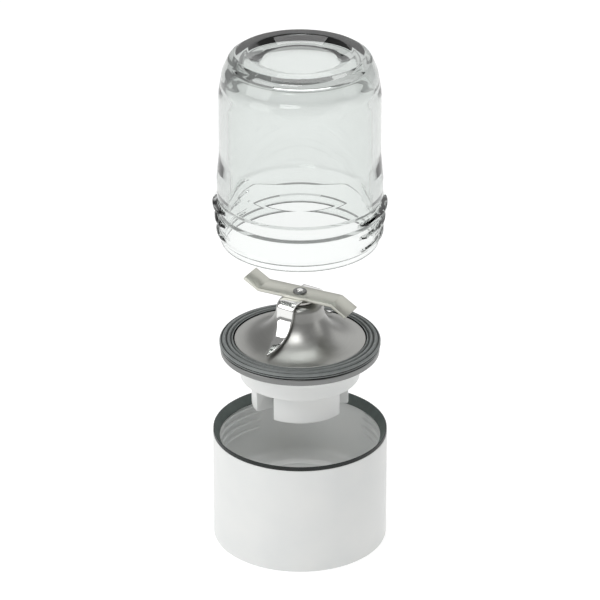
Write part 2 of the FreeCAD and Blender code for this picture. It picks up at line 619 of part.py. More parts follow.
# ---- jar, in its own frame with the lip at 0 --------------------------------------------------
BODY_RADIUS = 41.8
SHOULDER_RADIUS = 43.0
NECK_TOP = 24.4               # top of the threaded neck
BEAD_RADIUS = 41.2
BORE_RADIUS = 36.9


def glass_jar():
    """Pressed glass jar, mouth down: bead, quarter-turn thread, shoulder, and a foot ring round a punt."""
    top = JAR_HEIGHT
    edges = [
        line((MOUTH_RADIUS, 0.9), (MOUTH_RADIUS, 15.4)),
        arc((MOUTH_RADIUS, 15.4), (37.9, 16.5), (BORE_RADIUS, 17.2)),
        line((BORE_RADIUS, 17.2), (36.2, top - 16.0)),
        arc((36.2, top - 16.0), (33.4, top - 9.4), (26.8, top - 6.8)),
        line((26.8, top - 6.8), (0, top - 5.8)),
        line((0, top - 5.8), (0, top - 2.8)),
        line((0, top - 2.8), (18.0, top - 3.0)),
        arc((18.0, top - 3.0), (20.0, top - 2.7), (21.6, top - 1.6)),
        arc((21.6, top - 1.6), (26.0, top), (30.6, top - 0.4)),
        arc((30.6, top - 0.4), (34.9, top - 1.8), (37.0, top - 3.6)),
        arc((37.0, top - 3.6), (40.6, top - 12.6), (BODY_RADIUS - 0.1, top - 23.0)),
        line((BODY_RADIUS - 0.1, top - 23.0), (BODY_RADIUS, 48.0)),
        arc((BODY_RADIUS, 48.0), (42.5, 41.0), (SHOULDER_RADIUS, 34.0)),
        line((SHOULDER_RADIUS, 34.0), (SHOULDER_RADIUS, NECK_TOP + 2.1)),
        arc((SHOULDER_RADIUS, NECK_TOP + 2.1), (42.7, NECK_TOP + 0.8), (JAR_ROOT_RADIUS, NECK_TOP)),
        line((JAR_ROOT_RADIUS, NECK_TOP), (JAR_ROOT_RADIUS, 4.6)),
        arc((JAR_ROOT_RADIUS, 4.6), (41.1, 4.1), (BEAD_RADIUS, 3.0)),
        line((BEAD_RADIUS, 3.0), (BEAD_RADIUS, 1.4)),
        arc((BEAD_RADIUS, 1.4), (40.8, 0.4), (39.8, 0.0)),
        arc((39.8, 0.0), (38.8, 0.25), (MOUTH_RADIUS, 0.9)),
    ]
    ridges = thread_ridges(JAR_ROOT_RADIUS, MALE_RIDGES, MALE_ARC)
    return revolve_edges(edges).fuse(ridges).removeSplitter()


# ---- write every piece at its resting height --------------------------------------------------
def main():
    os.makedirs("parts", exist_ok=True)
    upper_bush_bottom = HOUSING_TOP - LIP_SEAL_HEIGHT - BUSH_LENGTH
    groups = [
        (0.0, {
            "collar_shell": collar_shell(),
            "rim_seal": rim_seal(),
            "bayonet_ring": bayonet_ring(),
            "bayonet_screws": bayonet_screws(),
        }),
        (RIM_HEIGHT, {
            "steel_dish": steel_dish(),
            "ribbed_gasket": ribbed_gasket(),
            "hub_body": hub_body(),
            "bearing_housing": bearing_housing(),
            "housing_nut": housing_nut(),
            "housing_seal": housing_seal(),
            "upper_bush": bush(upper_bush_bottom),
            "lower_bush": bush(HOUSING_BOTTOM),
            "shaft_seal": shaft_seal(),
            "hub_cover": hub_cover(),
            "cover_screws": cover_screws(),
            "shaft": shaft(),
            "blade_spacer": blade_spacer(),
            "lower_blade": lower_blade(),
            "upper_blade": upper_blade(),
            "blade_ring": blade_ring(),
            "lower_thrust_washer": lower_thrust_washer(),
            "circlip": circlip(),
            "coupling_insert": coupling_insert(),
            "drive_coupling": drive_coupling(),
        }),
        (JAR_LIP_HEIGHT, {"glass_jar": glass_jar()}),
    ]
    for height, pieces in groups:
        for name, shape in pieces.items():
            shape.translate(FreeCAD.Vector(0, 0, height))
            shape.exportStep("parts/" + name + ".step")
            box = shape.BoundBox
            print(f"{name:20s} solids {len(shape.Solids)} valid {shape.isValid()} volume {shape.Volume:9.1f}"
                  f" r {box.XMax:6.2f} z {box.ZMin:7.2f} {box.ZMax:7.2f}")


main()
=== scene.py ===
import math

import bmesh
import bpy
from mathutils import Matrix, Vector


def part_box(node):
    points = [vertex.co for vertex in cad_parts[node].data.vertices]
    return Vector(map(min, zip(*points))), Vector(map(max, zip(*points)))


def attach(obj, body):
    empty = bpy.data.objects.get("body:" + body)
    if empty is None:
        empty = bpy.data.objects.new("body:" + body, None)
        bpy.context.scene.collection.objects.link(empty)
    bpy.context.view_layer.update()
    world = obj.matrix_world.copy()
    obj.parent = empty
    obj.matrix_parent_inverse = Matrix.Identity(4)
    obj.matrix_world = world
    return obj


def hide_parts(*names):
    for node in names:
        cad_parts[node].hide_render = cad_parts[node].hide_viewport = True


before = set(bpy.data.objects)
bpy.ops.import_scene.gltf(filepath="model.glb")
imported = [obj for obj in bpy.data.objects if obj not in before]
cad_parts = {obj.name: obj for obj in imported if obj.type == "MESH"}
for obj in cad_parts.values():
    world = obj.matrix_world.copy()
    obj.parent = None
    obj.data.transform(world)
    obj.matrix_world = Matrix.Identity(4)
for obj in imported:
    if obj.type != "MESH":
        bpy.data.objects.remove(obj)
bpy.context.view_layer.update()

# %% [markdown]
# # A blade-mill cup, lifted apart
# The real object is three assemblies on one axis: a white collar with a thread inside, a blade unit on a
# sealing disc, and a pressed-glass jar that stands mouth down.  Nearly every piece was turned, moulded or
# pressed round that axis.  So most of this lesson is one idea used many times: draw half of a section,
# round its corners, and spin it.  Lengths are written in millimetres and turned to metres once.

MM = 0.001
GASKET_RIB = 0.5       # how far the gasket's ribs stand above the dish's rim
LIP_GAP = 0.02         # keeps the jar's lip just off its own box
collar_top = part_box("rim_seal")[1].z / MM
rim_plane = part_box("ribbed_gasket")[1].z / MM - GASKET_RIB
jar_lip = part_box("glass_jar")[0].z / MM + LIP_GAP
print(f"collar top {collar_top:.1f} mm, dish rim {rim_plane:.1f} mm, jar lip {jar_lip:.1f} mm")

# %% [markdown]
# ## A section with rounded corners
# A moulded or turned edge is never perfectly sharp, and the thin line of light on it is what makes a
# render look real.  A bevel after the spin would work too, but rounding the section first is exact and
# costs nothing.  Each corner is a radius, a height and how far it is rounded.

# %% Round the corners of a section
ARC_STEPS = 6


def rounded(corners, steps=ARC_STEPS):
    """Section points for a closed list of (radius, height, rounding) corners, in millimetres."""
    points = []
    count = len(corners)
    for index, (r, z, size) in enumerate(corners):
        here = Vector((r, z))
        before = Vector(corners[index - 1][:2]) - here
        after = Vector(corners[(index + 1) % count][:2]) - here
        if size <= 0 or before.length < 1e-6 or after.length < 1e-6:
            points.append((r, z))
            continue
        half = before.angle(after) / 2
        reach = min(size / math.tan(half), before.length * 0.5, after.length * 0.5)
        size = reach * math.tan(half)
        middle = here + (before.normalized() + after.normalized()).normalized() * (size / math.sin(half))
        first = here + before.normalized() * reach - middle
        last = here + after.normalized() * reach - middle
        turn = first.angle_signed(last)
        for step in range(steps + 1):
            spot = middle + Matrix.Rotation(-turn * step / steps, 2) @ first
            points.append((spot.x, spot.y))
    return points


# %% [markdown]
# ## Spinning a section
# `bmesh.ops.spin` turns the section in equal steps.  A full turn with `use_merge` closes the seam.  Edges
# that still meet at a real angle are marked sharp, and all the rest are shaded smooth.

# %% Spin, finish and place a piece
TURNS = 180
SHARP = math.radians(38)


def finished(bm, name, material, body, stands_for=()):
    """Make the mesh an object in metres that rides on a body and replaces its CAD nodes."""
    bmesh.ops.remove_doubles(bm, verts=bm.verts, dist=1e-4)
    bmesh.ops.recalc_face_normals(bm, faces=bm.faces)
    for face in bm.faces:
        face.smooth = True
    for edge in bm.edges:
        edge.smooth = len(edge.link_faces) == 2 and edge.calc_face_angle(0.0) < SHARP
    bmesh.ops.scale(bm, vec=(MM, MM, MM), verts=bm.verts)
    mesh = bpy.data.meshes.new(name)
    bm.to_mesh(mesh)
    bm.free()
    mesh.materials.append(material)
    piece = bpy.data.objects.new(name, mesh)
    bpy.context.scene.collection.objects.link(piece)
    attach(piece, body)
    if stands_for:
        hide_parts(*stands_for)
    print(f"{name}: {len(mesh.polygons)} faces")
    return piece


def spin_section(bm, points, lift=0.0, turns=TURNS, angle=360.0, start=0.0):
    """Spin a closed section about Z and return its new vertices."""
    known = set(bm.verts)
    turn = Matrix.Rotation(math.radians(start), 3, "Z")
    verts = [bm.verts.new(turn @ Vector((r, 0, z + lift))) for r, z in points]
    edges = [bm.edges.new((verts[i - 1], verts[i])) for i in range(len(verts))]
    whole = angle >= 360.0
    if not whole:
        bm.faces.new(verts)
        bmesh.ops.spin(bm, geom=verts + edges + verts[0].link_faces[:], cent=(0, 0, 0), axis=(0, 0, 1),
                       angle=math.radians(angle), steps=turns)
    else:
        bmesh.ops.spin(bm, geom=verts + edges, cent=(0, 0, 0), axis=(0, 0, 1), angle=math.tau,
                       steps=turns, use_merge=True)
    return [v for v in bm.verts if v not in known]


# %% [markdown]
# ## The interrupted thread
# Jar and collar lock with a quarter turn, so the thread is cut away on two sides.  Pressed and moulded
# threads are soft: they swell out of the wall and fade at both ends.  The wall is spun with many rows, and
# its points are moved out, or in for the collar, by a smooth ridge that climbs like a helix.

# %% Shape of the thread
PITCH = 4.6
THREAD_CENTRES = (170.0, -10.0)
FEMALE_ARC = 104.0
MALE_ARC = 70.0
FADE = 7.0             # degrees over which a ridge rises at each end
RIDGE_BASE = 1.1       # half the ridge's height at its foot
RIDGE_FLANK = 0.6      # how much of that is slope


def smooth_step(value):
    value = max(0.0, min(1.0, value))
    return value * value * (3.0 - 2.0 * value)


def swell(angle, height, wall, ridges, arc):
    """How far the thread moves the wall at an angle and a height, for (crest radius, height) ridges."""
    moved = 0.0
    for centre in THREAD_CENTRES:
        off = (angle - centre + 180.0) % 360.0 - 180.0
        along = smooth_step((arc / 2 - abs(off)) / FADE)
        for crest, level in ridges:
            gap = abs(height - level - PITCH * off / 360.0)
            push = (crest - wall) * along * smooth_step((RIDGE_BASE - gap) / RIDGE_FLANK)
            if abs(push) > abs(moved):
                moved = push
    return moved


def raise_thread(verts, wall, ridges, arc, floor, ceiling):
    """Move the wall's points to the thread's crest where a ridge stands."""
    for vert in verts:
        radius = math.hypot(vert.co.x, vert.co.y)
        if abs(radius - wall) > 0.02 or not floor < vert.co.z < ceiling:
            continue
        moved = swell(math.degrees(math.atan2(vert.co.y, vert.co.x)), vert.co.z, wall, ridges, arc)
        vert.co.x *= (wall + moved) / radius
        vert.co.y *= (wall + moved) / radius


def rows(radius, low, high, gap=0.32):
    """Points up a straight wall, close enough to carry the thread."""
    count = int(abs(high - low) / gap)
    return [(radius, low + (high - low) * i / count, 0) for i in range(1, count)]


# %% [markdown]
# ## Materials
# One small function adds a node with its settings and links, so a material reads from top to bottom.
# Colours are typed as the hex values a paint chart would give, and turned to linear light.

# %% Colour and node helpers
def linear(hex_code):
    """Linear colour of an sRGB hex value."""
    parts = [int(hex_code[i:i + 2], 16) / 255 for i in (0, 2, 4)]
    return tuple(p / 12.92 if p <= 0.04045 else ((p + 0.055) / 1.055) ** 2.4 for p in parts) + (1.0,)


def node(tree, kind, links=None, **settings):
    """Add a node: settings set its properties or sockets, and links joins outputs to its inputs."""
    made = tree.nodes.new("ShaderNode" + kind)
    for key, value in settings.items():
        if hasattr(made, key):
            setattr(made, key, value)
        else:
            made.inputs[key.replace("_", " ")].default_value = value
    for socket, source in (links or {}).items():
        tree.links.new(source, made.inputs[socket])
    return made


def new_material(name, **shader):
    """A material with one Principled shader, whose even values are set on its own sockets."""
    material = bpy.data.materials.new(name)
    material.use_nodes = True
    tree = material.node_tree
    principled = tree.nodes["Principled BSDF"]
    for key, value in shader.items():
        principled.inputs[key.replace("_", " ")].default_value = value
    return material, tree, principled


# %% [markdown]
# ### White ABS
# The collar, hub and cover are injection-moulded ABS: opaque white, half glossy, with a very fine mould
# grain and slightly uneven gloss from handling.

# %% Moulded white ABS
abs_white, tree, shader = new_material("moulded_white_abs", IOR=1.53, Coat_Weight=0.12, Coat_Roughness=0.18)
place = node(tree, "TexCoord")
handling = node(tree, "TexNoise", {"Vector": place.outputs["Object"]}, Scale=38.0, Detail=4.0)
tone = node(tree, "ValToRGB", {"Fac": handling.outputs["Fac"]})
tone.color_ramp.elements[0].position = 0.30
tone.color_ramp.elements[0].color = linear("DCDEDD")
tone.color_ramp.elements[1].position = 0.72
tone.color_ramp.elements[1].color = linear("E2E3E1")
gloss = node(tree, "MapRange", {"Value": handling.outputs["Fac"]}, To_Min=0.30, To_Max=0.40)
grain = node(tree, "TexNoise", {"Vector": place.outputs["Object"]}, Scale=2200.0, Detail=2.0)
skin = node(tree, "Bump", {"Height": grain.outputs["Fac"]}, Strength=0.05, Distance=0.00004)
tree.links.new(tone.outputs["Color"], shader.inputs["Base Color"])
tree.links.new(gloss.outputs["Result"], shader.inputs["Roughness"])
tree.links.new(skin.outputs["Normal"], shader.inputs["Normal"])


# %% [markdown]
# ### Three rubbers
# The lip seal is a dark, slightly green silicone, and the gasket a lighter grey one.  A third, almost
# black, is painted shade for the seal's outer side and the gasket's grooves and undercut.  All are dull,
# with a bloom of paler dust and a fine grain from the mould.

# %% Silicone rubber
def silicone(name, dark, light, rough):
    material, tree, shader = new_material(name, IOR=1.41, Specular_IOR_Level=0.45)
    place = node(tree, "TexCoord")
    bloom = node(tree, "TexNoise", {"Vector": place.outputs["Object"]}, Scale=120.0, Detail=6.0,
                 Roughness=0.62)
    tone = node(tree, "ValToRGB", {"Fac": bloom.outputs["Fac"]})
    tone.color_ramp.elements[0].position = 0.32
    tone.color_ramp.elements[0].color = linear(dark)
    tone.color_ramp.elements[1].position = 0.70
    tone.color_ramp.elements[1].color = linear(light)
    dull = node(tree, "MapRange", {"Value": bloom.outputs["Fac"]}, To_Min=rough - 0.08, To_Max=rough + 0.08)
    grain = node(tree, "TexNoise", {"Vector": place.outputs["Object"]}, Scale=1500.0, Detail=3.0)
    skin = node(tree, "Bump", {"Height": grain.outputs["Fac"]}, Strength=0.12, Distance=0.00005)
    tree.links.new(tone.outputs["Color"], shader.inputs["Base Color"])
    tree.links.new(dull.outputs["Result"], shader.inputs["Roughness"])
    tree.links.new(skin.outputs["Normal"], shader.inputs["Normal"])
    return material


lip_silicone = silicone("grey_green_lip_silicone", "4D5552", "5E6663", 0.50)
# Painted shade: a near-black silicone that stands in for the shadow in the seal's gap and the gasket's
# grooves
painted_shade_silicone = silicone("painted_shade_black_silicone", "151918", "222726", 0.42)
gasket_silicone = silicone("grey_gasket_silicone", "727675", "828685", 0.46)

# %% [markdown]
# ### Steels
# The dish is spun and polished on a lathe to a satin, so its scratches run round the axis.  The bar blade
# is ground along its length.  The pointed blade is mirror polished.  They differ in tone, in gloss and in
# the direction and depth of their scratches, so one function takes all of these.


# %% Scratched steel
def steel(name, dark, light, rough, spread, strength, turned=False, turn=0.0, stretch=(1, 1, 1), lines=9000.0,
          **extra):
    """Steel with fine scratches, round the axis or along a line."""
    material, tree, shader = new_material(name, Metallic=1.0, **extra)
    place = node(tree, "TexCoord")
    if turned:
        split = node(tree, "SeparateXYZ", {"Vector": place.outputs["Object"]})
        flat = node(tree, "CombineXYZ", {"X": split.outputs["X"], "Y": split.outputs["Y"]})
        radius = node(tree, "VectorMath", {0: flat.outputs["Vector"]}, operation="LENGTH")
        source = node(tree, "CombineXYZ", {"X": radius.outputs["Value"], "Z": split.outputs["Z"]})
        angle = node(tree, "Math", {0: split.outputs["Y"], 1: split.outputs["X"]}, operation="ARCTAN2")
        small = node(tree, "Math", {0: angle.outputs["Value"]}, operation="MULTIPLY")
        small.inputs[1].default_value = 0.0004
        tree.links.new(small.outputs["Value"], source.inputs["Y"])
        vector = source.outputs["Vector"]
    else:
        mapping = node(tree, "Mapping", {"Vector": place.outputs["Object"]})
        mapping.inputs["Rotation"].default_value = (0, 0, math.radians(-turn))
        mapping.inputs["Scale"].default_value = stretch
        vector = mapping.outputs["Vector"]
    scratch = node(tree, "TexNoise", {"Vector": vector}, Scale=lines, Detail=3.0, Roughness=0.6)
    cloud = node(tree, "TexNoise", {"Vector": place.outputs["Object"]}, Scale=60.0, Detail=3.0)
    tone = node(tree, "ValToRGB", {"Fac": scratch.outputs["Fac"]})
    tone.color_ramp.elements[0].position = 0.25
    tone.color_ramp.elements[0].color = linear(dark)
    tone.color_ramp.elements[1].position = 0.75
    tone.color_ramp.elements[1].color = linear(light)
    sheen = node(tree, "MapRange", {"Value": cloud.outputs["Fac"]}, To_Min=rough - spread,
                 To_Max=rough + spread)
    depth = node(tree, "Bump", {"Height": scratch.outputs["Fac"]}, Strength=strength, Distance=0.000015)
    tree.links.new(tone.outputs["Color"], shader.inputs["Base Color"])
    tree.links.new(sheen.outputs["Result"], shader.inputs["Roughness"])
    tree.links.new(depth.outputs["Normal"], shader.inputs["Normal"])
    return material


dish_steel = steel("satin_spun_steel", "A8A8A5", "B2B2AF", 0.36, 0.03, 0.06, turned=True, lines=5200.0)
rim_steel = steel("drawn_rim_steel", "7C7D7C", "8A8B8A", 0.38, 0.04, 0.10, turned=True, lines=5200.0)
bar_steel = steel("ground_bar_steel", "C4C4BB", "CECEC5", 0.33, 0.04, 0.12, turn=-27.0, stretch=(0.04, 1, 1),
                  lines=5200.0)
mirror_steel = steel("mirror_polished_steel", "DCDCDA", "E6E6E4", 0.045, 0.01, 0.004, turn=56.0,
                     stretch=(0.1, 1, 1), lines=3000.0)
plain_steel = steel("plain_turned_steel", "B8B7B2", "C9C8C3", 0.28, 0.05, 0.10, turned=True, lines=6000.0)
bronze = steel("sintered_bronze", "8A6A3C", "A98752", 0.42, 0.06, 0.10, lines=3500.0)

# %% [markdown]
# ### Black coupling plastic
# The coupling is glass-filled nylon: black, dull, with short pale fibres just under the surface.

# %% Glass-filled nylon
black_nylon, tree, shader = new_material("glass_filled_nylon", IOR=1.53)
place = node(tree, "TexCoord")
fibre = node(tree, "TexNoise", {"Vector": place.outputs["Object"]}, Scale=900.0, Detail=5.0, Distortion=1.5)
tone = node(tree, "ValToRGB", {"Fac": fibre.outputs["Fac"]})
tone.color_ramp.elements[0].color = linear("1B1C1D")
tone.color_ramp.elements[1].position = 0.8
tone.color_ramp.elements[1].color = linear("34363A")
skin = node(tree, "Bump", {"Height": fibre.outputs["Fac"]}, Strength=0.15, Distance=0.00006)
shader.inputs["Roughness"].default_value = 0.55
tree.links.new(tone.outputs["Color"], shader.inputs["Base Color"])
tree.links.new(skin.outputs["Normal"], shader.inputs["Normal"])

# %% [markdown]
# ### Pressed glass
# A pressed soda-lime jar: index 1.5, no roughness, and a faint grey-green that only shows where light runs
# a long way inside it.  Pressing leaves the surface slightly wavy over about two centimetres, and that is
# what bends the reflections.

# %% Pressed soda-lime glass
jar_glass, tree, shader = new_material("pressed_soda_lime_glass", IOR=1.5, Roughness=0.0)
shader.inputs["Transmission Weight"].default_value = 1.0
shader.inputs["Base Color"].default_value = linear("FCFEFD")
place = node(tree, "TexCoord")
wave = node(tree, "TexNoise", {"Vector": place.outputs["Object"]}, Scale=45.0, Detail=1.0)
press = node(tree, "Bump", {"Height": wave.outputs["Fac"]}, Strength=0.15, Distance=0.0002)
tree.links.new(press.outputs["Normal"], shader.inputs["Normal"])
soak = node(tree, "VolumeAbsorption", Density=72.0)
soak.inputs["Color"].default_value = linear("CCCFCD")
tree.links.new(soak.outputs["Volume"], tree.nodes["Material Output"].inputs["Volume"])
print("materials:", len(bpy.data.materials))

# %% [markdown]
# ## The collar
# One white moulding: a plain outer wall, the thread inside the top, a floor ring with a round hole, and
# three bosses for screws underneath.  The wall is 2.5 mm thick, and its foot is rounded.

# %% Collar
COLLAR_R = 46.3
ROOT_R = 43.8
CREST_R = 42.6
THROAT_R = 42.7
POCKET = collar_top - 5.0
SHOULDER = collar_top - 2.3
THREAD_FOOT = 38.0
TOP_RIDGE = 56.3
FLOOR_LOW = 21.0
FLOOR_HIGH = 23.5
SEAT_TOP = 26.0
SEAT_R = 31.5
HOLE_R = 26.0
BOSS_CIRCLE = 31.5
BOSS_R = 4.0
BOSS_DEPTH = 7.0
section = rounded([(COLLAR_R, 0.0, 0.7), (COLLAR_R, SHOULDER, 0.5), (45.0, SHOULDER, 0), (45.0, POCKET, 0),
                   (ROOT_R, POCKET, 0)] + rows(ROOT_R, POCKET, THREAD_FOOT)
                  + [(ROOT_R, FLOOR_HIGH, 4.0), (SEAT_R + 1.0, FLOOR_HIGH, 1.0), (SEAT_R, SEAT_TOP, 1.0),
                     (HOLE_R, SEAT_TOP, 0.8), (HOLE_R, FLOOR_LOW, 0.5), (ROOT_R, FLOOR_LOW, 0.8),
                     (ROOT_R, 0.0, 0.5)])
bm = bmesh.new()
wall = spin_section(bm, section, turns=216)
ridges = [(CREST_R, TOP_RIDGE - PITCH * k) for k in range(4)]
raise_thread(wall, ROOT_R, ridges, FEMALE_ARC, THREAD_FOOT, POCKET - 0.1)
for k in range(3):
    turn = math.radians(30 + 120 * k)
    boss = Matrix.Translation((BOSS_CIRCLE * math.cos(turn), BOSS_CIRCLE * math.sin(turn),
                               22.0 - BOSS_DEPTH / 2))
    bmesh.ops.create_cone(bm, cap_ends=True, segments=40, radius1=BOSS_R, radius2=BOSS_R, depth=BOSS_DEPTH,
                          matrix=boss)
finished(bm, "collar_moulding", abs_white, "collar", ["collar_shell"])

# %% [markdown]
# ## The lip seal
# A soft funnel that caps the collar's lip.  Its cone is dull and pale with bloom.  Its outside edge is
# painted almost black as painted shade for the shadow gap between seal and collar, so the mesh gets two
# finishes, chosen by how far a face is from the axis.


# %% Lip seal
def second_finish(piece, material, wanted):
    """Give another finish to the faces whose centre, in millimetres, is wanted."""
    piece.data.materials.append(material)
    for face in piece.data.polygons:
        centre = face.center / MM
        if wanted(math.hypot(centre.x, centre.y), centre.z):
            face.material_index = 1


section = rounded([(THROAT_R, POCKET, 0.2), (45.0, POCKET, 0), (45.0, SHOULDER, 0), (46.1, SHOULDER, 0.15),
                   (46.1, collar_top, 0.45), (45.7, collar_top, 0.3), (THROAT_R, POCKET + 0.6, 0.4)])
bm = bmesh.new()
spin_section(bm, section)
seal = finished(bm, "funnel_lip_seal", lip_silicone, "collar", ["rim_seal"])
# Painted shade: faces on the seal's outer side get the near-black silicone for the shadow in the gap
second_finish(seal, painted_shade_silicone, lambda radius, height: radius > 45.72)

# %% [markdown]
# ## The blade unit's dish
# A disc of 0.8 mm steel, drawn into a bell.  The flare is a quarter of an ellipse, steep at the crown and
# flat at the rim.  Under the gasket it drops into a channel and turns down over the hub's flange.

# %% Steel dish
SHEET = 0.8
FLARE_R = 35.2
CROWN_R = 11.5
CROWN_H = 22.2
RIM_R = 34.6
CHANNEL = -3.7
FLANGE_R = 41.9


def flare(reach, drop, first, last, steps):
    """Points down the bell's quarter ellipse, between two angles in degrees."""
    points = []
    for step in range(steps + 1):
        turn = math.radians(first + (last - first) * step / steps)
        points.append((FLARE_R - reach * math.cos(turn), CROWN_H - drop * math.sin(turn), 0))
    return points


reach = FLARE_R - CROWN_R
last = math.degrees(math.acos((FLARE_R - RIM_R + 0.45) / reach))
outer = [(4.4, CROWN_H, 0.3), (CROWN_R + 0.1, CROWN_H, 3.8)] + flare(reach, CROWN_H, 20.0, last, 34)
inner = flare(reach + SHEET, CROWN_H + SHEET, last - 1.0, 19.0, 26)
channel = [(RIM_R, -0.1, 0.3), (RIM_R, CHANNEL, 0.3), (FLANGE_R, CHANNEL, 0.6), (FLANGE_R, -7.0, 0.3),
           (FLANGE_R - SHEET, -7.0, 0.2), (FLANGE_R - SHEET, CHANNEL - SHEET, 0.2),
           (RIM_R - SHEET, CHANNEL - SHEET, 0.3)]
crown = [(CROWN_R - 0.7, CROWN_H - SHEET, 3.0), (4.4, CROWN_H - SHEET, 0.2)]
section = rounded(outer + channel + inner + crown)
bm = bmesh.new()
spin_section(bm, section, lift=rim_plane)
dish = finished(bm, "bell_dish", dish_steel, "blade_unit", ["steel_dish"])
second_finish(dish, rim_steel, lambda radius, height: radius > 40.5 and height < rim_plane + CHANNEL)

# %% [markdown]
# ## The ribbed gasket
# A soft ring in the dish's channel.  The jar's lip presses on its ribs, so the top has raised rings with
# narrow grooves between them, and the side has two more.  The groove bottoms, the inner wall down in the
# channel and the undercut below the ring are painted near-black as painted shade.

# %% Gasket
GASKET_R = 42.4
low = CHANNEL + 0.1
section = rounded([
    (RIM_R + 0.6, low, 0.2), (41.2, low, 0.1), (41.2, -2.9, 0.1), (GASKET_R, -2.9, 0.3),
    (GASKET_R - 0.05, -2.3, 0.3), (GASKET_R - 0.6, -2.1, 0.1), (GASKET_R - 0.6, -1.9, 0.1),
    (GASKET_R, -1.7, 0.3), (GASKET_R, -0.9, 0.5), (GASKET_R - 0.6, 0.0, 0.3), (41.45, -0.4, 0.1),
    (41.0, -0.4, 0.1), (40.55, 0.45, 0.35),
    (39.25, 0.5, 0.35), (38.9, -0.45, 0.1), (38.4, -0.45, 0.1), (38.05, 0.5, 0.35), (36.95, 0.5, 0.35),
    (36.6, -0.45, 0.1), (36.1, -0.45, 0.1), (35.75, 0.45, 0.25), (RIM_R + 0.6, 0.4, 0.2)], steps=4)
bm = bmesh.new()
spin_section(bm, section, lift=rim_plane)
gasket = finished(bm, "ribbed_ring_gasket", gasket_silicone, "gasket", ["ribbed_gasket"])
# Painted shade: groove bottoms, side groove, inner wall and the undercut get the near-black silicone
second_finish(gasket, painted_shade_silicone, lambda radius, height: height < rim_plane - 2.75
              or radius < 41.6 and height < rim_plane - 0.28
              or radius < GASKET_R - 0.3 and height < rim_plane - 1.8)

# %% [markdown]
# ## The hub
# A white moulding under the dish: a flange, a drum, a step that sits on the collar's floor, and a skirt
# cut into three lugs.  The drum is spun whole.  Each lug is the same section spun through about 90 degrees,
# and its end faces stay flat and thick, with small bevels.

# %% Hub
STEP = -21.5
FOOT = STEP - 16.4
DRUM_R = 31.6
LUG_R = 25.6
LUG_IN = 16.0
GAPS = (-138.0, -20.0, 102.0)    # where the skirt is open between the lugs, in degrees
HALF_GAP = 15.0
COVER_CIRCLE = 13.6
COVER_BOSS_R = 2.4
section = rounded([
    (8.5, -4.5, 0), (40.6, -4.6, 0.2), (40.6, -6.9, 0.3), (38.3, -7.2, 0.4), (37.2, -9.4, 2.0),
    (34.8, -11.8, 2.0), (DRUM_R, -13.2, 2.0), (DRUM_R, STEP, 0.9),
    (LUG_IN, STEP, 0.3), (LUG_IN, STEP + 2.5, 0.3), (DRUM_R - 2.5, STEP + 2.5, 0.5),
    (DRUM_R - 2.5, -7.2, 0.5),
    (8.5, -7.2, 0)])
bm = bmesh.new()
spin_section(bm, section, lift=rim_plane)
for gap in GAPS:
    lug = rounded([(LUG_R, STEP + 0.8, 0), (LUG_R, FOOT, 0.9), (LUG_IN, FOOT, 0.5), (LUG_IN, STEP + 0.8, 0)])
    following = min(((other - gap) % 360.0 or 360.0) for other in GAPS)
    ends = bmesh.new()
    spin_section(ends, lug, lift=rim_plane, turns=48, angle=following - 2 * HALF_GAP, start=gap + HALF_GAP)
    bmesh.ops.recalc_face_normals(ends, faces=ends.faces)
    caps = [face for face in ends.faces if len(face.verts) > 4]
    rims = [edge for face in caps for edge in face.edges]
    bmesh.ops.bevel(ends, geom=rims, offset=0.45, offset_type="OFFSET", segments=3, profile=0.5,
                    affect="EDGES", material=-1, clamp_overlap=True)
    lug_mesh = bpy.data.meshes.new("lug")
    ends.to_mesh(lug_mesh)
    ends.free()
    bm.from_mesh(lug_mesh)
    bpy.data.meshes.remove(lug_mesh)
for k in range(3):
    turn = math.radians(120 * k)
    boss = Matrix.Translation((COVER_CIRCLE * math.cos(turn), COVER_CIRCLE * math.sin(turn),
                               rim_plane - 12.8))
    bmesh.ops.create_cone(bm, cap_ends=True, segments=32, radius1=COVER_BOSS_R, radius2=COVER_BOSS_R,
                          depth=13.4, matrix=boss)
finished(bm, "stepped_hub", abs_white, "blade_unit", ["hub_body"])

# %% [markdown]
# ## The bar blade
# A 13.2 mm strip, 1.6 mm thick, with one end bent up and the other down by 31 degrees.  Its side outline
# is drawn flat, extruded across the width, and its edges are bevelled.

# %% Bar blade
BAR_TURN = -27.0
BAR_WIDTH = 13.2
BAR_THICK = 1.6
HALF_FLAT = 21.5
TIP = 10.0
BEND = math.radians(31.0)
blade_low = rim_plane + 25.3


def bar_outline():
    """Side outline of the bar, as (length, height), with its two bends."""
    run, rise = TIP * math.cos(BEND), TIP * math.sin(BEND)
    lean, stand = BAR_THICK * math.sin(BEND), BAR_THICK * math.cos(BEND)
    shift = BAR_THICK * math.tan(BEND / 2)
    low, high = 0.0, BAR_THICK
    return rounded([
        (-HALF_FLAT, low, 2.4), (HALF_FLAT - shift, low, 0.9),
        (HALF_FLAT + run - lean, high - rise - stand, 0),
        (HALF_FLAT + run, high - rise, 0), (HALF_FLAT, high, 2.4), (-HALF_FLAT + shift, high, 0.9),
        (-HALF_FLAT - run + lean, low + rise + stand, 0), (-HALF_FLAT - run, low + rise, 0)], steps=4)


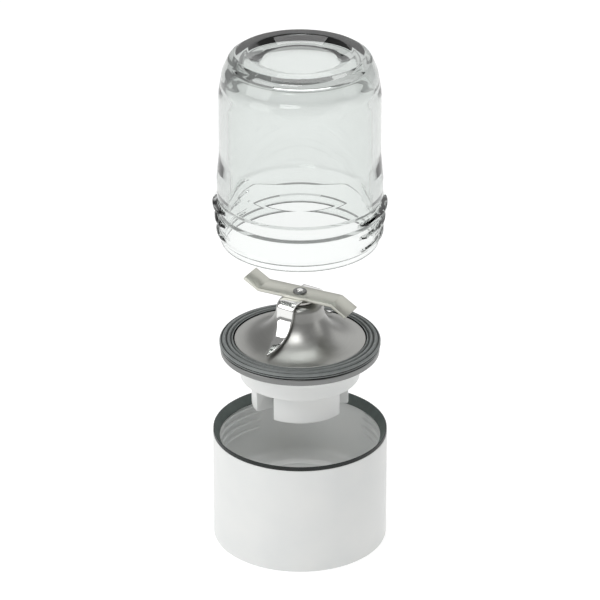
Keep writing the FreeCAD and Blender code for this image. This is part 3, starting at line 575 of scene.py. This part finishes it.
bm = bmesh.new()
side = bm.faces.new([bm.verts.new((x, -BAR_WIDTH / 2, z)) for x, z in bar_outline()])
pushed = bmesh.ops.extrude_face_region(bm, geom=[side])
moved = [v for v in pushed["geom"] if isinstance(v, bmesh.types.BMVert)]
bmesh.ops.translate(bm, vec=(0, BAR_WIDTH, 0), verts=moved)
bmesh.ops.recalc_face_normals(bm, faces=bm.faces)
crisp = [e for e in bm.edges if e.calc_face_angle(0.0) > math.radians(50)]
bmesh.ops.bevel(bm, geom=crisp, offset=0.16, offset_type="OFFSET", segments=2, profile=0.5, affect="EDGES",
                material=-1, clamp_overlap=True)
bmesh.ops.rotate(bm, cent=(0, 0, 0), matrix=Matrix.Rotation(math.radians(BAR_TURN), 3, "Z"), verts=bm.verts)
bmesh.ops.translate(bm, vec=(0, 0, blade_low), verts=bm.verts)
finished(bm, "bar_blade", bar_steel, "rotor", ["upper_blade"])

# %% [markdown]
# ## The pointed blade
# Its two arms bend down close to the bell and narrow to points.  The centre line is drawn once, from the
# shaft over the bend and down the flare; it is extruded across the width, each row is drawn in to the
# arm's own outline, and the sheet gets its thickness last.

# %% Pointed blade
ARM_TURN = -124.0
ARM_THICK = 1.4
AIR = 1.6
ARM_LEFT = [(0.0, 5.2), (12.4, 5.2), (15.5, 3.5), (20.0, 2.6), (26.0, 1.5), (31.6, 0.12)]
ARM_RIGHT = [(0.0, 5.2), (12.4, 5.2), (18.0, 4.4), (22.0, 3.2), (27.0, 1.9), (31.6, 0.12)]


def width_at(outline, reach):
    """Half width of the arm at a distance from the shaft."""
    for (near, wide), (far, narrow) in zip(outline, outline[1:]):
        if reach <= far:
            return wide + (narrow - wide) * max(0.0, reach - near) / (far - near)
    return outline[-1][1]


under = [(0.0, 23.9, 0), (4.0, 23.9, 0), (8.0, 23.9, 0), (12.9, 23.9, 2.6)]
sweep = FLARE_R - CROWN_R - AIR
under += flare(sweep, CROWN_H - AIR + 0.2, 8.0, 79.5, 26)
line = rounded(under + [(31.9, 1.0, 0), (0.0, 1.0, 0)])[:-2]
bm = bmesh.new()
for spin in (0.0, 180.0):
    arm = bmesh.new()
    verts = [arm.verts.new((r, 0, z + rim_plane)) for r, z in line]
    chain = [arm.edges.new(pair) for pair in zip(verts, verts[1:])]
    swept = bmesh.ops.extrude_edge_only(arm, edges=chain)
    moved = {v for v in swept["geom"] if isinstance(v, bmesh.types.BMVert)}
    for vert in arm.verts:
        outline = ARM_LEFT if vert in moved else ARM_RIGHT
        side = -1.0 if vert in moved else 1.0
        vert.co.y = side * width_at(outline, vert.co.x)
    across = [e for e in arm.edges if abs(e.verts[0].co.x - e.verts[1].co.x) < 1e-5
              and abs(e.verts[0].co.z - e.verts[1].co.z) < 1e-5]
    bmesh.ops.subdivide_edges(arm, edges=across, cuts=3)
    bmesh.ops.recalc_face_normals(arm, faces=arm.faces)
    if sum(face.normal.z for face in arm.faces) < 0:
        bmesh.ops.reverse_faces(arm, faces=arm.faces)
    bmesh.ops.rotate(arm, cent=(0, 0, 0), matrix=Matrix.Rotation(math.radians(ARM_TURN + spin), 3, "Z"),
                     verts=arm.verts)
    arm_mesh = bpy.data.meshes.new("arm")
    arm.to_mesh(arm_mesh)
    arm.free()
    bm.from_mesh(arm_mesh)
    bpy.data.meshes.remove(arm_mesh)
bmesh.ops.remove_doubles(bm, verts=bm.verts, dist=1e-4)
bmesh.ops.recalc_face_normals(bm, faces=bm.faces)
if sum(face.normal.z for face in bm.faces) < 0:
    bmesh.ops.reverse_faces(bm, faces=bm.faces)
bmesh.ops.solidify(bm, geom=bm.faces[:], thickness=-ARM_THICK)
bmesh.ops.recalc_face_normals(bm, faces=bm.faces)
crisp = [e for e in bm.edges if len(e.link_faces) == 2 and e.calc_face_angle(0.0) > math.radians(60)]
bmesh.ops.bevel(bm, geom=crisp, offset=0.12, offset_type="OFFSET", segments=2, profile=0.5, affect="EDGES",
                material=-1, clamp_overlap=True)
finished(bm, "pointed_blade", mirror_steel, "rotor", ["lower_blade"])

# %% [markdown]
# ## Shaft, ring and spacer
# The shaft carries both blades on a tenon, and a pressed ring holds them.  From above only the ring and
# the shaft's bright, domed end show.

# %% Shaft and its rings
bar_top = blade_low + BAR_THICK - rim_plane
section = rounded([(0, -34.0, 0), (4.0, -34.0, 0.5), (4.0, -20.0, 0), (3.4, -20.0, 0), (3.4, -19.0, 0),
                   (4.0, -19.0, 0), (4.0, 23.9, 0), (2.6, 23.9, 0), (2.6, bar_top, 0), (1.9, bar_top, 0),
                   (1.9, bar_top + 1.3, 0.6), (0, bar_top + 1.3, 0)])
bm = bmesh.new()
spin_section(bm, section, lift=rim_plane, turns=64)
axle = finished(bm, "mill_shaft", plain_steel, "rotor", ["shaft"])
second_finish(axle, mirror_steel, lambda radius, height: height > rim_plane + bar_top + 0.2)
section = rounded([(1.9, bar_top, 0), (3.6, bar_top, 0.1), (3.6, bar_top + 0.8, 0.35),
                   (1.9, bar_top + 0.8, 0.25)])
bm = bmesh.new()
spin_section(bm, section, lift=rim_plane, turns=64)
finished(bm, "pressed_ring", rim_steel, "rotor", ["blade_ring"])
section = rounded([(4.0, 22.5, 0), (8.0, 22.5, 0.2), (8.0, 23.9, 0.2), (4.0, 23.9, 0)])
bm = bmesh.new()
spin_section(bm, section, lift=rim_plane, turns=64)
finished(bm, "spacer_washer", plain_steel, "rotor", ["blade_spacer"])

# %% [markdown]
# ## The glass jar
# One closed shell: from the rounded lip up the outside, over the shoulder and the foot ring into the punt,
# and back down the inside.  Light bends at both walls, so the thickness matters as much as the outline.

# %% Jar
JAR_ROOT = 42.1
JAR_H = 103.5
BAND_FOOT = 4.6        # the thread's band on the outside of the jar's mouth
BAND_TOP = 24.4
JAR_RIDGES = ((43.3, 6.5), (44.2, 13.9), (45.2, 21.3))
section = rounded(
    [(38.4, 0.0, 0.9), (41.2, 0.0, 1.3), (41.2, 3.5, 1.0), (JAR_ROOT, BAND_FOOT, 0.4)]
    + rows(JAR_ROOT, BAND_FOOT, BAND_TOP)
    + [(JAR_ROOT, BAND_TOP, 0.6), (43.0, 26.4, 1.6), (43.0, 36.0, 12.0), (41.8, 48.0, 24.0),
       (41.7, JAR_H - 21.0, 30.0), (39.9, JAR_H - 9.5, 16.0), (36.4, JAR_H - 2.0, 4.5), (33.0, JAR_H, 2.5),
       (27.0, JAR_H, 4.0),
       (21.0, JAR_H - 2.6, 2.4), (19.0, JAR_H - 3.0, 1.5), (0.0, JAR_H - 2.8, 0), (0.0, JAR_H - 6.4, 0),
       (20.0, JAR_H - 6.6, 6.0), (30.0, JAR_H - 8.0, 5.0), (36.2, JAR_H - 16.0, 12.0), (36.9, 17.4, 0.8),
       (38.4, 15.6, 0.8)], steps=8)
bm = bmesh.new()
wall = spin_section(bm, section, lift=jar_lip, turns=216)
ridges = [(crest, jar_lip + level) for crest, level in JAR_RIDGES]
raise_thread(wall, JAR_ROOT, ridges, MALE_ARC, jar_lip + BAND_FOOT + 0.05, jar_lip + BAND_TOP - 0.1)
finished(bm, "pressed_glass_jar", jar_glass, "jar", ["glass_jar"])

# %% [markdown]
# ## Pieces that keep their CAD shape
# The inner works are already right in the frame, so they only get their finishes.

# %% Finishes for the inner works
finishes = {
    abs_white: ["bayonet_ring", "hub_cover"],
    plain_steel: ["bayonet_screws", "cover_screws", "housing_nut", "bearing_housing", "lower_thrust_washer",
                  "circlip"],
    bronze: ["upper_bush", "lower_bush", "coupling_insert"],
    lip_silicone: ["housing_seal", "shaft_seal"],
    black_nylon: ["drive_coupling"],
}
for material, names in finishes.items():
    for name in names:
        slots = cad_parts[name].data.materials
        for index in range(len(slots)):
            slots[index] = material
print("finished", sum(len(names) for names in finishes.values()), "inner pieces")

# %% [markdown]
# ## Stage, light and camera
# A pale floor that runs white, a large soft light from the left, a smaller one high in front, a weak one
# from the right, one above, and a wide one behind that the blades mirror.  Bare steel and glass show what is
# round them, so the room's walls are a light grey that darkens a little towards the ceiling.

# %% Floor
bm = bmesh.new()
bmesh.ops.create_circle(bm, cap_ends=True, segments=96, radius=2.4)
floor_mesh = bpy.data.meshes.new("studio_floor")
bm.to_mesh(floor_mesh)
bm.free()
floor_paint, tree, shader = new_material("white_studio_floor", Roughness=0.9)
shader.inputs["Base Color"].default_value = (0.55, 0.55, 0.55, 1)
shader.inputs["Specular IOR Level"].default_value = 0.0
shader.inputs["Emission Color"].default_value = (1, 1, 1, 1)
shader.inputs["Emission Strength"].default_value = 0.60
floor_mesh.materials.append(floor_paint)
floor = bpy.data.objects.new("studio_floor", floor_mesh)
bpy.context.scene.collection.objects.link(floor)

# %% Lights
AIM = Vector((0, 0, 0.1375))


def softbox(name, place, width, height, power):
    """A soft rectangular light that faces the object."""
    data = bpy.data.lights.new(name, "AREA")
    data.shape = "RECTANGLE"
    data.size = width
    data.size_y = height
    data.energy = power
    lamp = bpy.data.objects.new(name, data)
    lamp.location = place
    lamp.rotation_euler = (AIM - Vector(place)).to_track_quat("-Z", "Y").to_euler()
    bpy.context.scene.collection.objects.link(lamp)
    return lamp


softbox("key_left", (-1.1, -0.55, 0.75), 0.9, 1.1, 7.0)
softbox("high_front", (-0.3, -0.80, 1.40), 0.60, 0.45, 5.6)
softbox("fill_right", (1.2, -0.3, 0.6), 0.5, 0.9, 1.4)
softbox("top", (0.1, 0.35, 1.4), 1.0, 0.7, 6.4)
softbox("back", (0.45, 1.25, 0.85), 2.0, 0.8, 3.4)

world = bpy.data.worlds.new("studio")
bpy.context.scene.world = world
world.use_nodes = True
tree = world.node_tree
room = tree.nodes["Background"]
way = node(tree, "TexCoord")
height = node(tree, "SeparateXYZ", {"Vector": way.outputs["Generated"]})
walls = node(tree, "MapRange", {"Value": height.outputs["Z"]}, From_Min=0.05, From_Max=0.5, To_Min=0.36,
             To_Max=0.32)
tree.links.new(walls.outputs["Result"], room.inputs["Color"])
backdrop = node(tree, "Background", Color=(1, 1, 1, 1), Strength=1.0)
seen = node(tree, "LightPath")
choice = node(tree, "MixShader", {0: seen.outputs["Is Camera Ray"], 1: room.outputs["Background"],
                                  2: backdrop.outputs["Background"]})
tree.links.new(choice.outputs["Shader"], tree.nodes["World Output"].inputs["Surface"])
bpy.context.scene.view_settings.view_transform = "Standard"

# %% Camera
ELEVATION = math.radians(26.2)
DISTANCE = 1.9
FIELD = 0.3137
camera_data = bpy.data.cameras.new("camera")
camera_data.sensor_width = 36.0
camera_data.lens = 36.0 * DISTANCE / FIELD
camera = bpy.data.objects.new("camera", camera_data)
camera.location = AIM + DISTANCE * Vector((0, -math.cos(ELEVATION), math.sin(ELEVATION)))
camera.rotation_euler = (AIM - camera.location).to_track_quat("-Z", "Y").to_euler()
bpy.context.scene.collection.objects.link(camera)
bpy.context.scene.camera = camera
print(f"camera {DISTANCE} m away, lens {camera_data.lens:.0f} mm")
